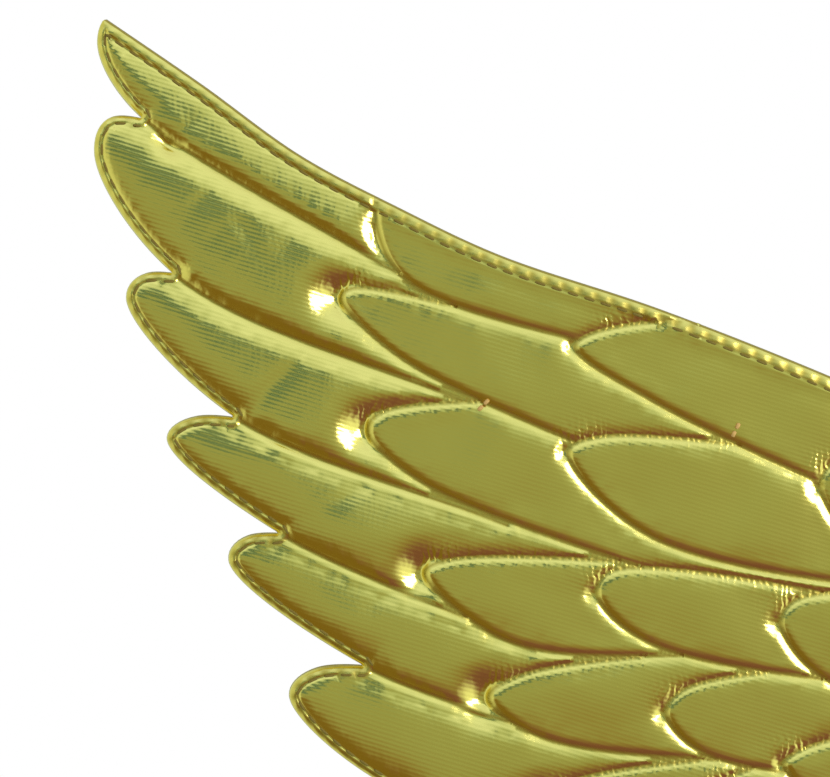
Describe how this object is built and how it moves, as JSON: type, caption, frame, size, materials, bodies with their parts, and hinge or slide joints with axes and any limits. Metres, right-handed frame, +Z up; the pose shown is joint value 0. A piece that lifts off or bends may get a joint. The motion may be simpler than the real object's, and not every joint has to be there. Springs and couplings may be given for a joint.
{
  "type": "costume wings",
  "caption": "Gold padded costume wings: two swept wings quilted into overlapping feathers, joined by a plain centre pad with elastic shoulder loops on its back.",
  "frame": {"origin": "middle of the centre pad's back, where it lies on the wearer's back", "axes": "+Z up, +X to the wings' right side as seen from their feathered front, +Y towards the wearer"},
  "size_m": [0.459, 0.1444, 0.2293],
  "materials": {
    "gold_foil_cloth": "metallic gold foil cloth with fine ribs, quilted over padding",
    "elastic_webbing": "woven elastic band, off-white"
  },
  "bodies": {
    "root": {"left_wing": "gold_foil_cloth", "right_wing": "gold_foil_cloth", "centre_pad": "gold_foil_cloth", "left_strap": "elastic_webbing", "right_strap": "elastic_webbing"}
  },
  "joints": []
}
